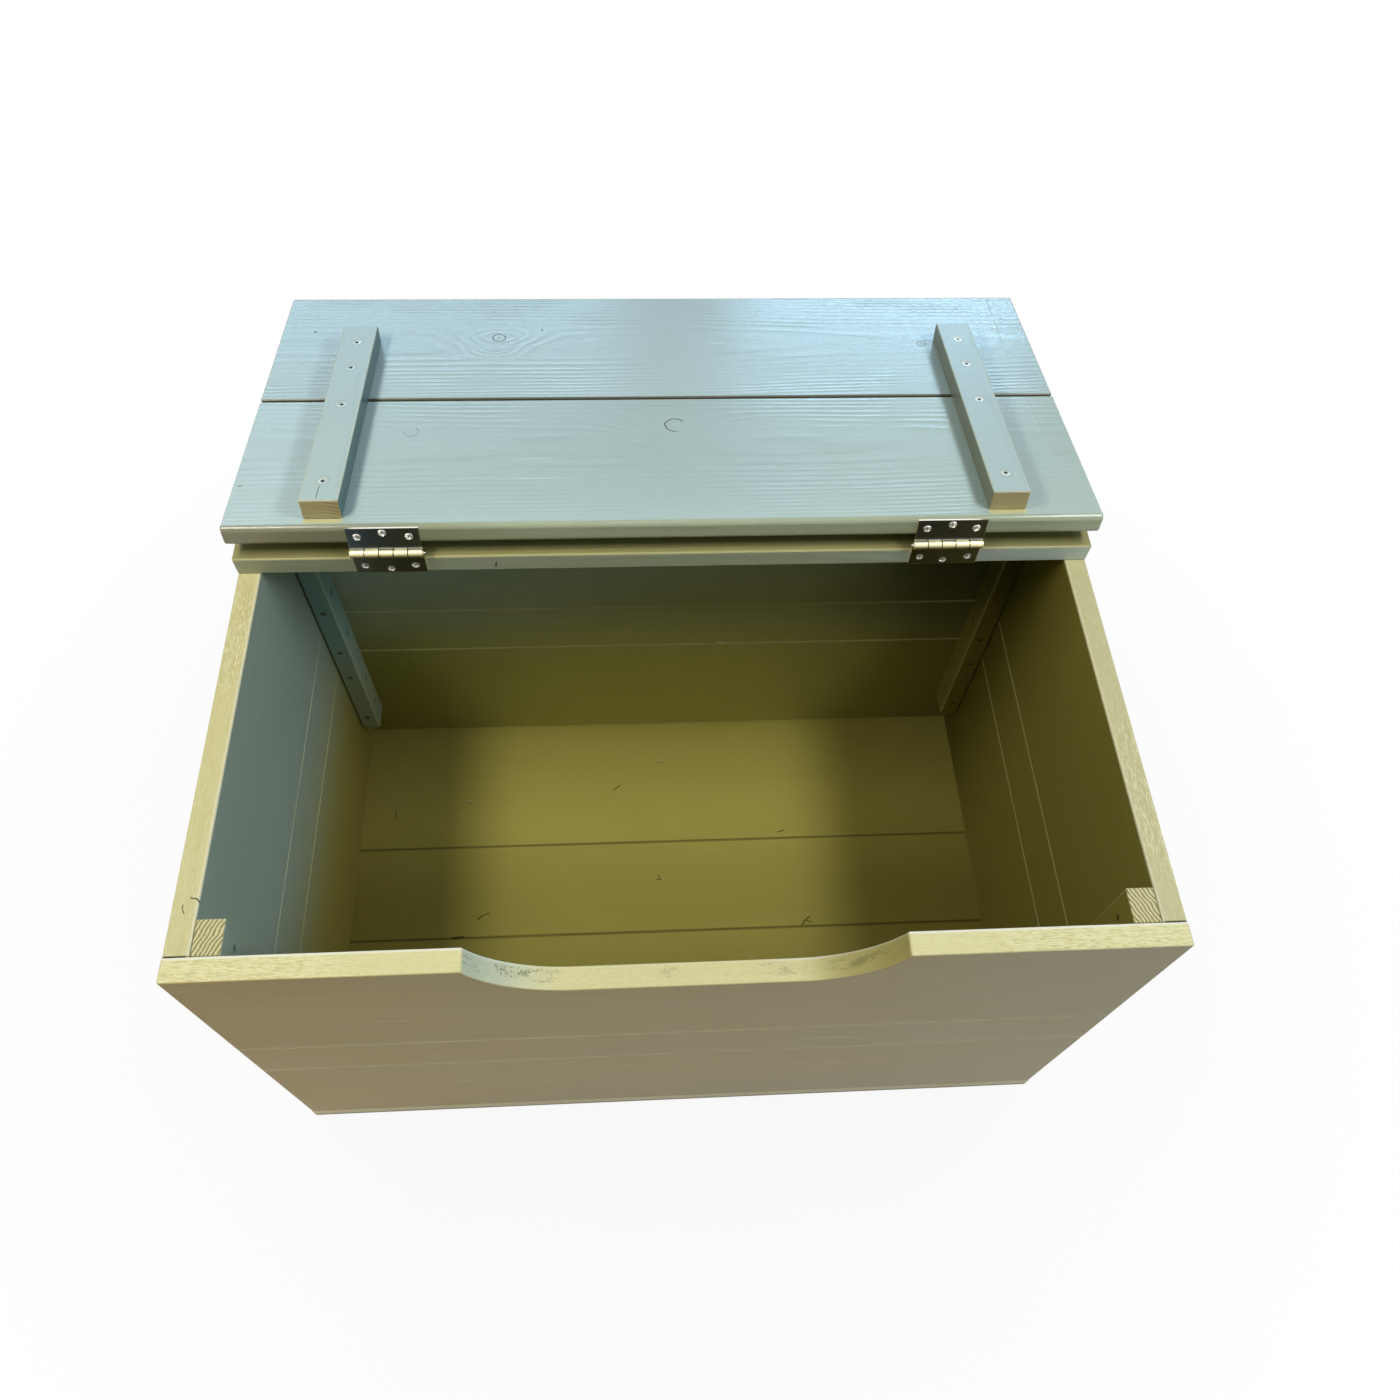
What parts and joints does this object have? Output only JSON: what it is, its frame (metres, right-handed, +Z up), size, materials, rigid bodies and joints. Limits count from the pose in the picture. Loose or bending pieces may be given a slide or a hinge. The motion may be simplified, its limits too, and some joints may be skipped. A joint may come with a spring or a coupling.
{
  "type": "storage chest",
  "caption": "Painted pine storage chest with a board lid hinged to a fixed rear rail, battens under the lid and a hand scoop in the front edge.",
  "frame": {"origin": "middle of the base's footprint, on the floor", "axes": "+X to the right along the width, +Y to the back, +Z up; the scooped front faces -Y"},
  "size_m": [0.8, 0.7642, 0.5572],
  "materials": {
    "painted_pine": "satin sage paint over visible grain",
    "hinge_steel": "bright plated steel",
    "hinge_screw": "bright plated steel",
    "wood_screw": "steel partly painted over"
  },
  "bodies": {
    "box": {"front_bottom_board": "painted_pine", "front_middle_board": "painted_pine", "front_top_board": "painted_pine", "back_bottom_board": "painted_pine", "back_middle_board": "painted_pine", "back_top_board": "painted_pine", "left_bottom_board": "painted_pine", "left_middle_board": "painted_pine", "left_top_board": "painted_pine", "right_bottom_board": "painted_pine", "right_middle_board": "painted_pine", "right_top_board": "painted_pine", "floor_front_board": "painted_pine", "floor_middle_board": "painted_pine", "floor_back_board": "painted_pine", "front_left_post": "painted_pine", "front_right_post": "painted_pine", "rear_left_post": "painted_pine", "rear_right_post": "painted_pine", "rear_rail": "painted_pine", "left_hinge_rail_leaf": "hinge_steel", "left_hinge_pin": "hinge_steel", "right_hinge_rail_leaf": "hinge_steel", "right_hinge_pin": "hinge_steel", "wall_screws": "wood_screw", "side_screws": "wood_screw", "floor_screws": "wood_screw", "rail_screws": "wood_screw", "rail_hinge_screws": "hinge_screw"},
    "lid": {"lid_rear_board": "painted_pine", "lid_front_board": "painted_pine", "left_batten": "painted_pine", "right_batten": "painted_pine", "left_hinge_lid_leaf": "hinge_steel", "right_hinge_lid_leaf": "hinge_steel", "lid_hinge_screws": "hinge_screw", "batten_screws": "wood_screw"}
  },
  "joints": [
    {"name": "lid_hinge", "type": "hinge", "parent": "box", "child": "lid", "pos_m": [0, 0.1325, 0.5095], "axis": [1, 0, 0], "range_deg": [0, 189.05]}
  ]
}
